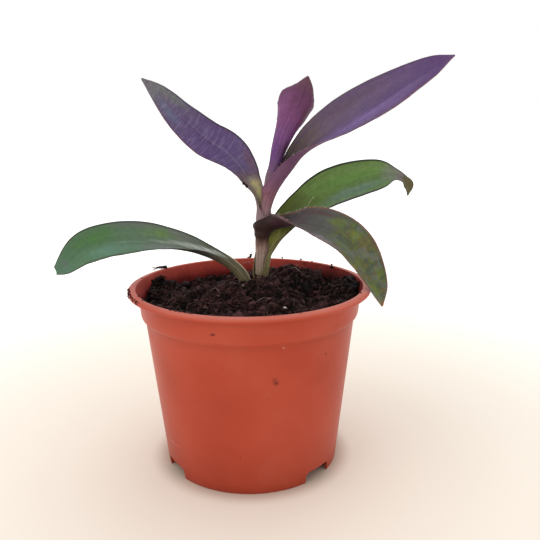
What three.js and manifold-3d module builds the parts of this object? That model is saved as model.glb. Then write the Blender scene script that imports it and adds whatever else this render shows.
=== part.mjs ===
// Potted tradescantia: a young plant with six leaves in a 10.5 cm moulded nursery pot.
// Millimetres, +Z up. The origin is the centre of the pot's foot on the surface it stands on.
// +X points to the right and +Y to the back, seen from the pot's front.
import * as THREE from "three";
import { mergeVertices } from "three/addons/utils/BufferGeometryUtils.js";
import Module from "manifold-3d";

const wasm = await Module();
wasm.setup();

// ---------------------------------------------------------------- driving dimensions

// Pot: radii of the thin moulded wall, from its foot to its rolled rim.
const POT_HEIGHT = 79.5;
const RIM_RADIUS = 52.5;
const FOOT_RADIUS = 38.2;
const SHOULDER_RADIUS = 45.5;
const SHOULDER_HEIGHT = 66;
const COLLAR_RADIUS = 47.4;
const WALL = 1.0;
const FLOOR_HEIGHT = 5.2;
const FLOOR_THICKNESS = 1.2;
const SECTORS = 56;

// The pot's inner wall as [radius, height], which the soil follows.
const INNER_WALL = [
  [FOOT_RADIUS - 0.3, FLOOR_HEIGHT + FLOOR_THICKNESS],
  [SHOULDER_RADIUS - WALL, SHOULDER_HEIGHT],
  [COLLAR_RADIUS - WALL - 0.3, SHOULDER_HEIGHT + 2.6],
];

// Four notches in the foot let water out from under the raised floor.
const NOTCH_DEGREES = [-42, 32, 138, 212];
const NOTCH_WIDTH = 14.6;
const NOTCH_HEIGHT = 4.9;
const NOTCH_CORNER = 2.2;
const DRAIN_RADIUS = 4;
const DRAIN_CIRCLE = 24;
const DRAIN_COUNT = 6;

// Clearance between pieces that touch.
const GAP = 0.3;

// Soil: level, then mounds and hollows as [x, y, height, spread].
const SOIL_LEVEL = 74.4;
const SOIL_LUMPS = [
  [4, 3, 4.3, 12],
  [28, 30, 3.4, 8],
  [40, 8, 2.6, 7],
  [-39, 17, 4.4, 4],
  [33, -4, -2.6, 7],
  [-22, 22, -1.2, 9],
  [-20, -16, 1.6, 8],
  [14, -24, 1.4, 7],
];
const SOIL_RINGS = 11;
const CRUMB_WAVE = 7.5;
const CRUMB_HEIGHT = 0.75;

// Stem: its centre line as [x, y, z, radius], from its buried end to its growing tip.
const STEM = [
  [3.6, 10, 54, 2.1],
  [4.0, 10, 70, 2.15],
  [4.3, 10, 75.5, 2.1],
  [4.7, 10, 80.3, 1.6],
  [5.5, 10, 98, 1.6],
  [5.8, 10, 103, 1.55],
  [6.98, 10, 108.8, 1.4],
  [7.3, 10, 110.8, 1.35],
];
const STEM_SIDES = 16;
const STEM_HOLE = { x: 4.35, y: 10, radius: 3.85, bottom: 73.2 };

// The shoot is the stem with the sheaths round it: its axis as [z, x, y].
const SHOOT = [
  [54, 3.6, 10],
  [70, 4.0, 10],
  [81.5, 4.7, 10],
  [98, 5.5, 10],
  [103, 5.8, 10],
  [108.8, 6.98, 10],
  [113, 7.7, 10],
  [118.5, 8.4, 10],
  [124, 9.1, 10.1],
];

// Leaves. Each row is a station along the midrib, from the sheath to the tip:
// [x, y, z, half width, roll, curl]. Half width is measured along the blade's surface. Roll turns
// the upper face about the midrib, and curl is the angle through which each half bends from midrib
// to margin, so a curl of 170 degrees is a closed sheath round the stem. Heading is the compass
// direction of the leaf from +X, and fold is the crease of an open blade along its midrib. Clear is
// how far the blade stays from the axis of the shoot, as [z, distance], so that each sheath stands
// open round the next one up.
const LEAF_THICKNESS = 0.62;
const LEAF_STEPS = 25;
const LEAF_ACROSS = 10;
const FOLD_ENDS_AT_CURL = 120;
const LEAVES = {
  leaf_upper_left: {
    color: 0x5e4a75,
    heading: 163,
    fold: 5,
    clear: [[102.5, 0], [105.8, 3.2], [113, 3.6], [118, 4.3], [125, 4.6]],
    stations: [
      [3.8, 11.5, 99, 6.9, -24, 172],
      [4, 11.5, 102, 7, -24, 172],
      [3.7, 11.65, 106, 7.5, -18, 152],
      [4.3, 12.2, 111.7, 4.6, -26, 80],
      [3.1, 12.9, 117.4, 4.4, -36, 68],
      [-0.4, 13.5, 122.3, 6.4, -40, 72],
      [-4.1, 14.6, 128.1, 8.4, -44, 62],
      [-9.8, 16, 134.2, 9.6, -52, 46],
      [-18.7, 18.5, 140.6, 8.8, -70, 38],
      [-29.1, 21.5, 149.7, 7.4, -84, 34],
      [-38.6, 24, 159.4, 4.7, -84, 30],
      [-47.5, 26, 167, 0.35, -70, 20],
    ],
  },
  leaf_young: {
    color: 0x70405f,
    heading: -90,
    fold: 0,
    clear: [[118, 0]],
    stations: [
      [8.6, 7.8, 118.5, 5.6, 0, 155],
      [9.35, 7.7, 124, 5.7, -4, 152],
      [10.8, 7.6, 129, 5.5, -8, 142],
      [12.95, 7.6, 136.5, 6.7, -6, 122],
      [16.1, 7.5, 145, 7.85, -4, 100],
      [19.5, 7.5, 151.4, 9.6, 6, 80],
      [21.7, 7.7, 156.8, 9.6, 6, 66],
      [24, 8, 161.4, 5.1, 2, 50],
      [25.6, 8.4, 166.3, 0.35, 0, 30],
    ],
  },
  leaf_upper_right: {
    color: 0x5d4670,
    heading: -7,
    fold: 10,
    clear: [[113.5, 0], [118, 3.3], [124, 3.5]],
    stations: [
      [8.7, 9.75, 106.3, 6.4, 0, 170],
      [9.3, 9.7, 109.5, 6.6, 0, 170],
      [10.2, 9.7, 113, 7.2, 0, 166],
      [12.3, 9.6, 118, 7.9, 0, 142],
      [15.5, 9.3, 123, 8, 2, 118],
      [19.5, 9, 128.4, 8, 10, 96],
      [23.9, 8.7, 134.4, 8.1, 28, 74],
      [30.4, 8, 140.5, 9.3, 44, 54],
      [40.9, 7, 147.2, 10.8, 52, 42],
      [52.8, 5.5, 154.6, 10.2, 58, 36],
      [65.1, 3.5, 162.6, 7.5, 66, 32],
      [76.6, 1.5, 169.4, 4.5, 66, 28],
      [84.3, 0, 173.4, 0.35, 50, 20],
    ],
  },
  leaf_back_right: {
    color: 0x55803f,
    heading: 17,
    fold: 8,
    clear: [[77, 0], [80.3, 3.2], [84, 3.6], [88, 4], [91, 4.2], [97, 4.5], [102, 5.7], [108, 6]],
    stations: [
      [6.1, 12.1, 73.8, 8.6, 30, 173],
      [6.5, 12.1, 77.5, 8.4, 29, 168],
      [6.9, 12, 81.2, 7.2, 27, 130],
      [7.3, 12, 84.6, 6.2, 23, 102],
      [8, 12.1, 88.4, 5.9, 21, 96],
      [10.7, 13.4, 92.9, 6.2, 25, 90],
      [13.8, 15.3, 98.9, 7.6, 46, 88],
      [18.8, 17.5, 104.6, 8.3, 50, 72],
      [26.5, 19.5, 110.6, 9.3, 52, 56],
      [36, 21.5, 116.4, 10.3, 56, 44],
      [48.1, 24.5, 120.5, 9.7, 60, 38],
      [60.2, 27, 123.2, 7.3, 68, 34],
      [67.2, 28.4, 123.3, 3.1, 74, 30],
      [71.6, 28.9, 121.1, 2, 80, 28],
      [73.7, 29, 118, 2.8, 84, 26],
      [73.8, 29, 113.4, 0.35, 60, 20],
    ],
  },
  leaf_front_right: {
    color: 0x5c6244,
    heading: -28,
    fold: 6,
    clear: [[95, 0], [98.6, 3.3], [101, 3.5], [103, 4.5], [106, 5], [109, 5]],
    stations: [
      [6.8, 9.05, 80.8, 6.8, 4, 172],
      [7.3, 8.95, 87, 7.5, 4, 172],
      [7.85, 8.9, 91.5, 8.3, 4, 172],
      [7.9, 8.9, 96, 8.2, 3, 168],
      [9.4, 8.2, 100.2, 9.1, -2, 142],
      [13.6, 7, 102.2, 9.1, -8, 102],
      [19, 5.4, 103.6, 7.9, 10, 70],
      [25.2, 2.8, 104.4, 8.6, 30, 48],
      [33.2, 0, 102.6, 9.7, 36, 37],
      [41.2, -4, 98.6, 9.8, 34, 32],
      [47.3, -8, 91.8, 8.9, 32, 30],
      [53.4, -11, 80.3, 5.6, 29, 28],
      [56, -13, 72, 0.4, 30, 20],
    ],
  },
  leaf_lower_left: {
    color: 0x4f7b4b,
    heading: 185,
    fold: 14,
    clear: [[71, 0]],
    stations: [
      [-3.4, 6.2, 70.6, 5, -22, 118],
      [-3.5, 6.3, 75.2, 5.2, -23, 117],
      [-5.1, 6.3, 80, 5.4, -24, 116],
      [-9.2, 6, 84.7, 5.2, -22, 113],
      [-14.2, 5.5, 88.1, 5.2, -19, 106],
      [-20, 5, 91, 5.8, -20, 90],
      [-27, 4, 94, 6.7, -28, 63],
      [-35.8, 3, 96.6, 7.4, -39, 44],
      [-46.6, 2, 98.2, 8.4, -50, 34],
      [-60, 1, 97.9, 8.5, -64, 28],
      [-70.6, 0, 95.2, 7.7, -74, 26],
      [-79.4, 0, 88.2, 5, -68, 22],
      [-84.1, 0, 85.2, 2.4, -48, 20],
    ],
  },
};
const PETIOLE_HOLE = { x: -1.7, y: 5.3, radius: 3.75, bottom: 70.1 };

// ---------------------------------------------------------------- shape helpers

const radians = THREE.MathUtils.degToRad;

// A geometry from corner points and triangles, both as nested lists.
function geometryOf(points, triangles) {
  const geometry = new THREE.BufferGeometry();
  geometry.setAttribute("position", new THREE.Float32BufferAttribute(points.flat(), 3));
  geometry.setIndex(triangles.flat());
  return geometry;
}

// A closed geometry as a solid that can be joined and cut.
function solidOf(geometry) {
  const bare = geometry.clone();
  bare.deleteAttribute("normal");
  bare.deleteAttribute("uv");
  const merged = mergeVertices(bare, 1e-4);
  const mesh = new wasm.Mesh({
    numProp: 3,
    vertProperties: merged.attributes.position.array,
    triVerts: new Uint32Array(merged.index.array),
  });
  return new wasm.Manifold(mesh);
}

// A solid back as a geometry.
function geometryFrom(solid) {
  const mesh = solid.getMesh();
  const geometry = new THREE.BufferGeometry();
  geometry.setAttribute("position", new THREE.BufferAttribute(mesh.vertProperties, mesh.numProp));
  geometry.setIndex(new THREE.BufferAttribute(mesh.triVerts, 1));
  return geometry;
}

// A named mesh with the colour and roughness of its piece.
function meshOf(name, geometry, color, roughness) {
  const bare = geometry.clone();
  bare.computeVertexNormals();
  const material = new THREE.MeshStandardMaterial({ color, roughness, metalness: 0 });
  const mesh = new THREE.Mesh(bare, material);
  mesh.name = name;
  return mesh;
}

// An upright round plug from one height to another, used to cut holes.
function plug(x, y, radius, bottom, top) {
  const geometry = new THREE.CylinderGeometry(radius, radius, top - bottom, 20);
  geometry.rotateX(Math.PI / 2);
  geometry.translate(x, y, (bottom + top) / 2);
  return solidOf(geometry);
}

// Uniform Catmull-Rom spline through rows of numbers, at t from 0 to 1.
function spline(rows, t) {
  const last = rows.length - 1;
  const place = Math.min(Math.max(t, 0), 1) * last;
  const i = Math.min(Math.floor(place), last - 1);
  const u = place - i;
  return rows[0].map((_, k) => {
    const b = rows[i][k];
    const c = rows[i + 1][k];
    const a = i > 0 ? rows[i - 1][k] : 2 * b - c;
    const d = i + 2 <= last ? rows[i + 2][k] : 2 * c - b;
    const linear = (c - a) * u;
    const square = (2 * a - 5 * b + 4 * c - d) * u * u;
    const cube = (3 * b - a - 3 * c + d) * u * u * u;
    return (2 * b + linear + square + cube) / 2;
  });
}

// Rows of [level, values...] read between their levels, with straight lines from row to row.
function levelAt(rows, z) {
  const next = rows.findIndex(([level]) => level > z);
  if (next === 0) return rows[0].slice(1);
  if (next < 0) return rows[rows.length - 1].slice(1);
  const [low, high] = [rows[next - 1], rows[next]];
  const u = (z - low[0]) / (high[0] - low[0]);
  return low.slice(1).map((value, k) => value + u * (high[k + 1] - value));
}

// ---------------------------------------------------------------- pot

// A round-cornered bar through the foot's wall, which cuts one notch.
function notch(degrees) {
  const half = NOTCH_WIDTH / 2;
  const shape = new THREE.Shape();
  shape.moveTo(-half, -1);
  shape.lineTo(half, -1);
  shape.lineTo(half, NOTCH_HEIGHT - NOTCH_CORNER);
  shape.absarc(half - NOTCH_CORNER, NOTCH_HEIGHT - NOTCH_CORNER, NOTCH_CORNER, 0, Math.PI / 2);
  shape.absarc(NOTCH_CORNER - half, NOTCH_HEIGHT - NOTCH_CORNER, NOTCH_CORNER, Math.PI / 2, Math.PI);
  const length = 8;
  const geometry = new THREE.ExtrudeGeometry(shape, { depth: length, bevelEnabled: false, curveSegments: 4 });
  geometry.rotateX(Math.PI / 2);
  geometry.translate(0, FOOT_RADIUS + length / 2, 0);
  geometry.rotateZ(radians(degrees - 90));
  return solidOf(geometry);
}

function potGeometry() {
  const floorTop = FLOOR_HEIGHT + FLOOR_THICKNESS;
  const profile = [
    [0, FLOOR_HEIGHT],
    [FOOT_RADIUS - 0.7, FLOOR_HEIGHT],
    [FOOT_RADIUS - WALL, 0],
    [FOOT_RADIUS, 0],
    [SHOULDER_RADIUS, SHOULDER_HEIGHT],
    [COLLAR_RADIUS - 0.4, SHOULDER_HEIGHT + 1.6],
    [COLLAR_RADIUS, SHOULDER_HEIGHT + 3.5],
    [COLLAR_RADIUS + 0.6, POT_HEIGHT - 3.2],
    [COLLAR_RADIUS + 1.2, POT_HEIGHT - 2.2],
    [RIM_RADIUS - 0.5, POT_HEIGHT - 2.1],
    [RIM_RADIUS, POT_HEIGHT - 1.3],
    [RIM_RADIUS - 0.7, POT_HEIGHT - 0.4],
    [RIM_RADIUS - 2.6, POT_HEIGHT],
    [RIM_RADIUS - 3.6, POT_HEIGHT - 0.3],
    [RIM_RADIUS - 4.6, POT_HEIGHT - 1.8],
    [COLLAR_RADIUS - WALL, POT_HEIGHT - 5],
    ...INNER_WALL.toReversed(),
    [0, floorTop],
  ];
  const points = profile.map(([r, z]) => new THREE.Vector2(r, z));
  const lathe = new THREE.LatheGeometry(points, SECTORS);
  lathe.rotateX(Math.PI / 2);
  let pot = solidOf(lathe);
  for (const degrees of NOTCH_DEGREES) pot = pot.subtract(notch(degrees));
  for (let i = 0; i < DRAIN_COUNT; i++) {
    const angle = (2 * Math.PI * i) / DRAIN_COUNT;
    const x = DRAIN_CIRCLE * Math.cos(angle);
    const y = DRAIN_CIRCLE * Math.sin(angle);
    pot = pot.subtract(plug(x, y, DRAIN_RADIUS, FLOOR_HEIGHT - 1, floorTop + 1));
  }
  return geometryFrom(pot);
}

// ---------------------------------------------------------------- soil

// Height of the soil's top: its level, its lumps and a small crumbly relief.
function soilHeight(x, y) {
  let z = SOIL_LEVEL + (0.8 * x) / COLLAR_RADIUS;
  for (const [cx, cy, height, spread] of SOIL_LUMPS) {
    z += height * Math.exp(-((x - cx) ** 2 + (y - cy) ** 2) / (2 * spread ** 2));
  }
  const k = (2 * Math.PI) / CRUMB_WAVE;
  z += CRUMB_HEIGHT * Math.sin(k * x + 1.3 * Math.sin(0.5 * k * y)) * Math.sin(k * y + 0.7);
  z += 0.6 * CRUMB_HEIGHT * Math.sin(1.7 * k * (0.8 * x + 0.6 * y) + 2);
  return Math.min(z, POT_HEIGHT - 0.8);
}

// One closed body: a flat bottom on the pot's floor, a side that follows its wall, and a lumpy top.
function soilGeometry() {
  const wall = INNER_WALL.map(([radius, z]) => [radius - GAP, z]);
  const [top] = wall[wall.length - 1];
  const points = [[0, 0, wall[0][1]]];
  const triangles = [];
  const ringStart = (ring) => 1 + ring * SECTORS;
  const addRing = (radius, heightAt) => {
    for (let s = 0; s < SECTORS; s++) {
      const angle = (2 * Math.PI * s) / SECTORS;
      // The corners stand where the pot's do: the lathe starts at -Y and turns towards +X.
      const x = radius * Math.sin(angle);
      const y = -radius * Math.cos(angle);
      points.push([x, y, heightAt(x, y)]);
    }
  };
  for (const [radius, z] of wall) addRing(radius, () => z);
  for (let ring = 0; ring < SOIL_RINGS; ring++) {
    addRing(top * (1 - ring / SOIL_RINGS), soilHeight);
  }
  const rings = wall.length + SOIL_RINGS;
  for (let s = 0; s < SECTORS; s++) {
    const next = (s + 1) % SECTORS;
    triangles.push([0, ringStart(0) + next, ringStart(0) + s]);
    for (let ring = 0; ring + 1 < rings; ring++) {
      const a = ringStart(ring) + s;
      const b = ringStart(ring) + next;
      const c = ringStart(ring + 1) + next;
      const d = ringStart(ring + 1) + s;
      triangles.push([a, b, c], [a, c, d]);
    }
    triangles.push([ringStart(rings - 1) + s, ringStart(rings - 1) + next, points.length]);
  }
  points.push([0, 0, soilHeight(0, 0)]);
  const above = POT_HEIGHT + 5;
  const [stemX, stemY, stemBottom, stemRadius] = STEM[0];
  const stemSeat = { x: stemX + GAP, y: stemY, radius: stemRadius + 2 * GAP, bottom: stemBottom - GAP };
  let solid = solidOf(geometryOf(points, triangles));
  for (const { x, y, radius, bottom } of [stemSeat, STEM_HOLE, PETIOLE_HOLE]) {
    solid = solid.subtract(plug(x, y, radius, bottom, above));
  }
  return geometryFrom(solid);
}

// ---------------------------------------------------------------- stem

// A loft through the stem's rings, closed at both ends.
function stemGeometry() {
  const points = [];
  const triangles = [];
  for (const [x, y, z, radius] of STEM) {
    for (let s = 0; s < STEM_SIDES; s++) {
      const angle = (2 * Math.PI * s) / STEM_SIDES;
      points.push([x + radius * Math.cos(angle), y + radius * Math.sin(angle), z]);
    }
  }
  const lastRing = (STEM.length - 1) * STEM_SIDES;
  const foot = points.length;
  const tip = foot + 1;
  for (let s = 0; s < STEM_SIDES; s++) {
    const next = (s + 1) % STEM_SIDES;
    for (let start = 0; start < lastRing; start += STEM_SIDES) {
      const a = start + s;
      const b = start + next;
      triangles.push([a, b, b + STEM_SIDES], [a, b + STEM_SIDES, a + STEM_SIDES]);
    }
    triangles.push([foot, next, s], [tip, lastRing + s, lastRing + next]);
  }
  points.push(STEM[0].slice(0, 3), STEM[STEM.length - 1].slice(0, 3));
  return geometryOf(points, triangles);
}

// ---------------------------------------------------------------- leaves

// Moves a point out from the axis of the shoot where it would come closer than the leaf keeps.
function keepClear(leaf, point) {
  const [distance] = levelAt(leaf.clear, point.z);
  if (distance <= 0) return point;
  const [x, y] = levelAt(SHOOT, point.z);
  const out = new THREE.Vector3(point.x - x, point.y - y, 0);
  const length = out.length();
  const softness = 0.4;
  const wanted = (length + distance + Math.hypot(length - distance, softness)) / 2;
  return point.addScaledVector(out, wanted / length - 1);
}

// The point of the blade's middle surface at t along the midrib and v across it, from -1 to 1.
function bladePoint(leaf, t, v) {
  const step = 1e-3;
  const [x, y, z, half, roll, curlDegrees] = spline(leaf.stations, t);
  const ahead = new THREE.Vector3(...spline(leaf.stations, t + step).slice(0, 3));
  const behind = new THREE.Vector3(...spline(leaf.stations, t - step).slice(0, 3));
  const along = ahead.sub(behind).normalize();
  const heading = radians(leaf.heading);
  const side = new THREE.Vector3(Math.sin(heading), -Math.cos(heading), 0);
  side.addScaledVector(along, -side.dot(along)).normalize();
  const face = new THREE.Vector3().crossVectors(side, along);
  const lean = radians(roll);
  const up = face.clone().multiplyScalar(Math.cos(lean)).addScaledVector(side, Math.sin(lean));
  const out = side.clone().multiplyScalar(Math.cos(lean)).addScaledVector(face, -Math.sin(lean));
  const curl = radians(curlDegrees);
  const fold = radians(leaf.fold) * Math.max(0, 1 - curlDegrees / FOLD_ENDS_AT_CURL);
  const angle = fold + curl * Math.abs(v);
  const across = (Math.sign(v) * half * (Math.sin(angle) - Math.sin(fold))) / curl;
  const rise = (half * (Math.cos(fold) - Math.cos(angle))) / curl;
  const point = new THREE.Vector3(x, y, z).addScaledVector(out, across).addScaledVector(up, rise);
  return keepClear(leaf, point);
}

// Unit normal of the middle surface, on the blade's upper side.
function bladeNormal(leaf, t, v) {
  const step = 2e-3;
  const at = (dt, dv) => {
    const inside = Math.min(Math.max(v + dv, -1), 1);
    return bladePoint(leaf, Math.min(Math.max(t + dt, 0), 1), inside);
  };
  const across = at(0, step).sub(at(0, -step));
  const along = at(step, 0).sub(at(-step, 0));
  return across.cross(along).normalize();
}

// Corner points across the blade at t, offset to one of its two faces.
function leafRow(leaf, t, offset) {
  const row = [];
  for (let j = 0; j <= LEAF_ACROSS; j++) {
    const v = (2 * j) / LEAF_ACROSS - 1;
    const point = bladePoint(leaf, t, v).addScaledVector(bladeNormal(leaf, t, v), offset);
    row.push(point.toArray());
  }
  return row;
}

// A blade of even thickness, its upper and lower faces split into triangles alike.
function leafGeometry(leaf) {
  const points = [];
  const triangles = [];
  const width = LEAF_ACROSS + 1;
  const count = (LEAF_STEPS + 1) * width;
  for (const offset of [LEAF_THICKNESS / 2, -LEAF_THICKNESS / 2]) {
    for (let i = 0; i <= LEAF_STEPS; i++) points.push(...leafRow(leaf, i / LEAF_STEPS, offset));
  }
  const quad = (a, b, c, d) => triangles.push([a, b, c], [a, c, d]);
  for (let i = 0; i < LEAF_STEPS; i++) {
    for (let j = 0; j < LEAF_ACROSS; j++) {
      const a = i * width + j;
      const b = a + 1;
      const c = b + width;
      const d = a + width;
      quad(a, b, c, d);
      triangles.push([count + a, count + c, count + b], [count + a, count + d, count + c]);
    }
    const left = i * width;
    const right = left + LEAF_ACROSS;
    quad(left, left + width, count + left + width, count + left);
    quad(right, count + right, count + right + width, right + width);
  }
  const end = LEAF_STEPS * width;
  for (let j = 0; j < LEAF_ACROSS; j++) {
    quad(j, count + j, count + j + 1, j + 1);
    quad(end + j, end + j + 1, count + end + j + 1, count + end + j);
  }
  return geometryOf(points, triangles);
}

// ---------------------------------------------------------------- assembly

const plant = new THREE.Group();
plant.add(meshOf("pot", potGeometry(), 0xb5523b, 0.45));
plant.add(meshOf("soil", soilGeometry(), 0x33241f, 0.95));
plant.add(meshOf("stem", stemGeometry(), 0x8a6f62, 0.6));
for (const [name, leaf] of Object.entries(LEAVES)) {
  plant.add(meshOf(name, leafGeometry(leaf), leaf.color, 0.5));
}

export default plant;
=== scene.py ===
"""Potted tradescantia: the finished look of a young plant with six leaves in a moulded nursery pot.

Metres, +Z up, the pot's axis at the origin. Dimensions in the tables are millimetres.
"""

import random
from functools import partial
from math import atan2, copysign, cos, exp, hypot, pi, radians, sin, sqrt

import bmesh
import bpy
import numpy as np
from mathutils import Matrix, Vector, noise


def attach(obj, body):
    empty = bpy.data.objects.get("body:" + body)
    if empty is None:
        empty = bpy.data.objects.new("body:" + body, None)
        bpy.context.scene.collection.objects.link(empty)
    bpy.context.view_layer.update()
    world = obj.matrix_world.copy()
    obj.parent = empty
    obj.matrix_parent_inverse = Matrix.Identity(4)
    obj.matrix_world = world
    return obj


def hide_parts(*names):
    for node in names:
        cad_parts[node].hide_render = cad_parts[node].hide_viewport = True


MM = 0.001
SMOOTH = {"interpolation_type": "SMOOTHSTEP"}
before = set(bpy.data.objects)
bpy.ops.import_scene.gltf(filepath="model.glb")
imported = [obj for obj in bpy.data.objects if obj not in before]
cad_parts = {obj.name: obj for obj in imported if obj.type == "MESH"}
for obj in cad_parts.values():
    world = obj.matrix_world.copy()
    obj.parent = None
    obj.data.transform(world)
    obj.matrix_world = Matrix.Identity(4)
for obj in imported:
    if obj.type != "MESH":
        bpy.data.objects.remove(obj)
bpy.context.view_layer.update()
scene = bpy.context.scene
dice = random.Random(7)
noise.seed_set(5)

# ---------------- helpers


def linear(hex_colour, shade=1):
    """An sRGB hex colour, darkened by a shade from 0 to 1, as the linear colour that shaders use."""
    parts = [int(hex_colour[i : i + 2], 16) / 255 for i in (1, 3, 5)]
    parts = [p / 12.92 if p <= 0.04045 else ((p + 0.055) / 1.055) ** 2.4 for p in parts]
    return (*(shade * p for p in parts), 1)


def add_node(tree, kind, inputs=None, out=0, stops=(), **settings):
    """Adds a node with its settings and links, and gives one of its outputs. An input is a socket, a
    value or a hex colour, by name or number. TexNoise: 0 vector, 2 scale, 3 detail, 4 roughness.
    MapRange: 0 value, 1-2 from, 3-4 to. Mapping: 0 vector, 1 shift, 2 turn, 3 scale. Mix: 0 share,
    6-7 colours. A stop is a place, a hex colour and perhaps a shade."""
    node = tree.nodes.new("ShaderNode" + kind)
    for name, value in settings.items():
        setattr(node, name, value)
    if stops:
        elements = node.color_ramp.elements
        elements.remove(elements[1])
        elements[0].position = stops[0][0]
        for place, *_ in stops[1:]:
            elements.new(place)
        for element, (_, *colour) in zip(elements, stops):
            element.color = linear(*colour)
    for name, value in (inputs or {}).items():
        if isinstance(value, bpy.types.NodeSocket):
            tree.links.new(value, node.inputs[name])
        else:
            node.inputs[name].default_value = linear(value) if isinstance(value, str) else value
    return node.outputs[out] if node.outputs else None


def make_material(name, finish, *args, **settings):
    """A material from a finish, which gives the body's colour, the layers over it as (amount, factor,
    colour), and the shader's other inputs."""
    material = bpy.data.materials.new(name)
    material.use_nodes = True
    material.node_tree.nodes.clear()
    add = partial(add_node, material.node_tree)
    colour, layers, surface = finish(add, add("TexCoord", out="Object"), *args, **settings)
    for amount, factor, tint in layers:
        amount = add("Math", {0: amount, 1: factor}, operation="MULTIPLY")
        colour = add("Mix", {0: amount, 6: colour, 7: tint}, 2, data_type="RGBA")
    add("OutputMaterial", {0: add("BsdfPrincipled", {"Base Color": colour, **surface})})
    return material


def mm(*lengths):
    """Millimetres as metres."""
    return tuple(length * MM for length in lengths)


def around(radius, angle, z):
    """The place in metres at an angle round the pot's axis, from millimetres."""
    return mm(radius * cos(angle), radius * sin(angle), z)


def only(obj):
    """Selects this object alone and makes it active."""
    bpy.ops.object.select_all(action="DESELECT")
    obj.select_set(True)
    bpy.context.view_layer.objects.active = obj


def new_piece(operator, **settings):
    """The object that an operator adds, with nothing else selected."""
    bpy.ops.object.select_all(action="DESELECT")
    operator(**settings)
    return bpy.context.object


def new_mesh(points, faces):
    mesh = bpy.data.meshes.new("piece")
    mesh.from_pydata(points, [], faces)
    mesh.update()
    obj = bpy.data.objects.new("piece", mesh)
    scene.collection.objects.link(obj)
    return obj


def apply_modifier(obj, kind, **settings):
    only(obj)
    modifier = obj.modifiers.new(kind.title(), kind)
    for name, value in settings.items():
        setattr(modifier, name, value)
    bpy.ops.object.modifier_apply(modifier=modifier.name)


def place_in_mesh(obj):
    only(obj)
    bpy.ops.object.transform_apply(location=True, rotation=True, scale=True)


def edit(action):
    """Starts editing the active mesh with all of it selected, or none."""
    bpy.ops.object.mode_set(mode="EDIT")
    bpy.ops.mesh.select_all(action=action)


def face_outwards():
    """Turns all faces of the mesh being edited outwards and ends the editing."""
    bpy.ops.mesh.select_all(action="SELECT")
    bpy.ops.mesh.normals_make_consistent(inside=False)
    bpy.ops.object.mode_set(mode="OBJECT")


def dress(obj, name, materials, node=None):
    """Names a finished piece, gives it its finish and lets it ride with the plant."""
    obj.name = obj.data.name = name
    for material in materials:
        obj.data.materials.append(material)
    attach(obj, "root")
    if node:
        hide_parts(node)
    return obj


def loft(rings, sides):
    """A closed body: a filled circle extruded and resized through rings of (x, y, z, radius) in mm."""
    x, y, z, radius = rings[0]
    obj = new_piece(
        bpy.ops.mesh.primitive_circle_add,
        vertices=sides, radius=radius * MM, fill_type="NGON", location=mm(x, y, z),
    )
    place_in_mesh(obj)
    edit("SELECT")
    for (x0, y0, z0, r0), (x1, y1, z1, r1) in zip(rings, rings[1:]):
        bpy.ops.mesh.extrude_region_move(TRANSFORM_OT_translate={"value": mm(x1 - x0, y1 - y0, z1 - z0)})
        bpy.ops.transform.resize(value=(r1 / r0, r1 / r0, 1), center_override=mm(x1, y1, z1))
    face_outwards()
    return obj


def cut(obj, cutter):
    """Cuts one solid out of another."""
    apply_modifier(obj, "BOOLEAN", operation="DIFFERENCE", solver="EXACT", object=cutter)
    bpy.data.objects.remove(cutter)


def scatter(shape, placings):
    """One mesh with a copy of a small shape for each (place, matrix) of a list."""
    points = np.array([v.co for v in shape.data.vertices])
    faces = [np.array(p.vertices) for p in shape.data.polygons]
    all_points, all_faces = [], []
    for i, (place, matrix) in enumerate(placings):
        all_points.append(points @ np.array(matrix).T + np.array(place))
        all_faces += [tuple(face + i * len(points)) for face in faces]
    return new_mesh(np.concatenate(all_points).tolist(), all_faces)


# ---------------- camera, floor and light

EYE = (8.9, -271.1, 149.9)
PITCH = radians(13.46)
ROLL = radians(-0.515)
LENS = 42.667
# Softboxes as (name, place, size, power).
LAMPS = [("key_softbox", (-0.55, -0.35, 0.75), 0.7, 1.3), ("top_softbox", (0.15, 0.45, 0.8), 0.6, 0.8)]
LIT_PLACE = Vector((0, 0, 0.08))


def set_up_camera():
    turn = Matrix.Rotation(pi / 2 - PITCH, 3, "X") @ Matrix.Rotation(ROLL, 3, "Z")
    bpy.ops.object.camera_add(location=mm(*EYE), rotation=turn.to_euler())
    scene.camera = bpy.context.object
    camera = scene.camera.data
    camera.lens, camera.clip_start, camera.clip_end = LENS, 0.01, 100


def floor_finish(add, place):
    """Pale matt floor: it glows a little far from the plant, and a painted shadow darkens it round the
    pot's foot.
    """
    far = add("VectorMath", {0: place}, "Value", operation="LENGTH")
    tone = add("MapRange", {0: far, 1: 0.07, 2: 0.5}, **SMOOTH)
    # Painted shadow round the pot's foot.
    shade = add("MapRange", {0: far, 1: 37 * MM, 2: 47 * MM, 3: 0.75, 4: 0}, **SMOOTH)
    glow = add("Math", {0: tone, 1: 0.35}, operation="MULTIPLY")
    surface = {"Roughness": 0.8, "Emission Color": "#FFFFFF", "Emission Strength": glow}
    return "#F1E8DA", [(tone, 1, "#FBFAF8"), (shade, 1, "#B49A86")], surface


def set_up_floor():
    floor = new_piece(bpy.ops.mesh.primitive_circle_add, vertices=96, radius=30, fill_type="NGON")
    floor.name = "studio_floor"
    floor.data.materials.append(make_material("pale_studio_floor", floor_finish))


def set_up_light():
    world = bpy.data.worlds.new("pale_room")
    world.use_nodes = True
    background = world.node_tree.nodes["Background"]
    background.inputs[0].default_value = linear("#FFFFFF")
    background.inputs[1].default_value = 1.0
    scene.world = world
    scene.view_settings.view_transform = "Standard"
    for name, place, size, power in LAMPS:
        bpy.ops.object.light_add(type="AREA", location=place)
        lamp = bpy.context.object
        lamp.name = name
        lamp.data.size, lamp.data.energy = size, power
        lamp.rotation_euler = (LIT_PLACE - Vector(place)).to_track_quat("-Z", "Y").to_euler()


set_up_camera()
set_up_floor()
set_up_light()

# ---------------- pot

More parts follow.
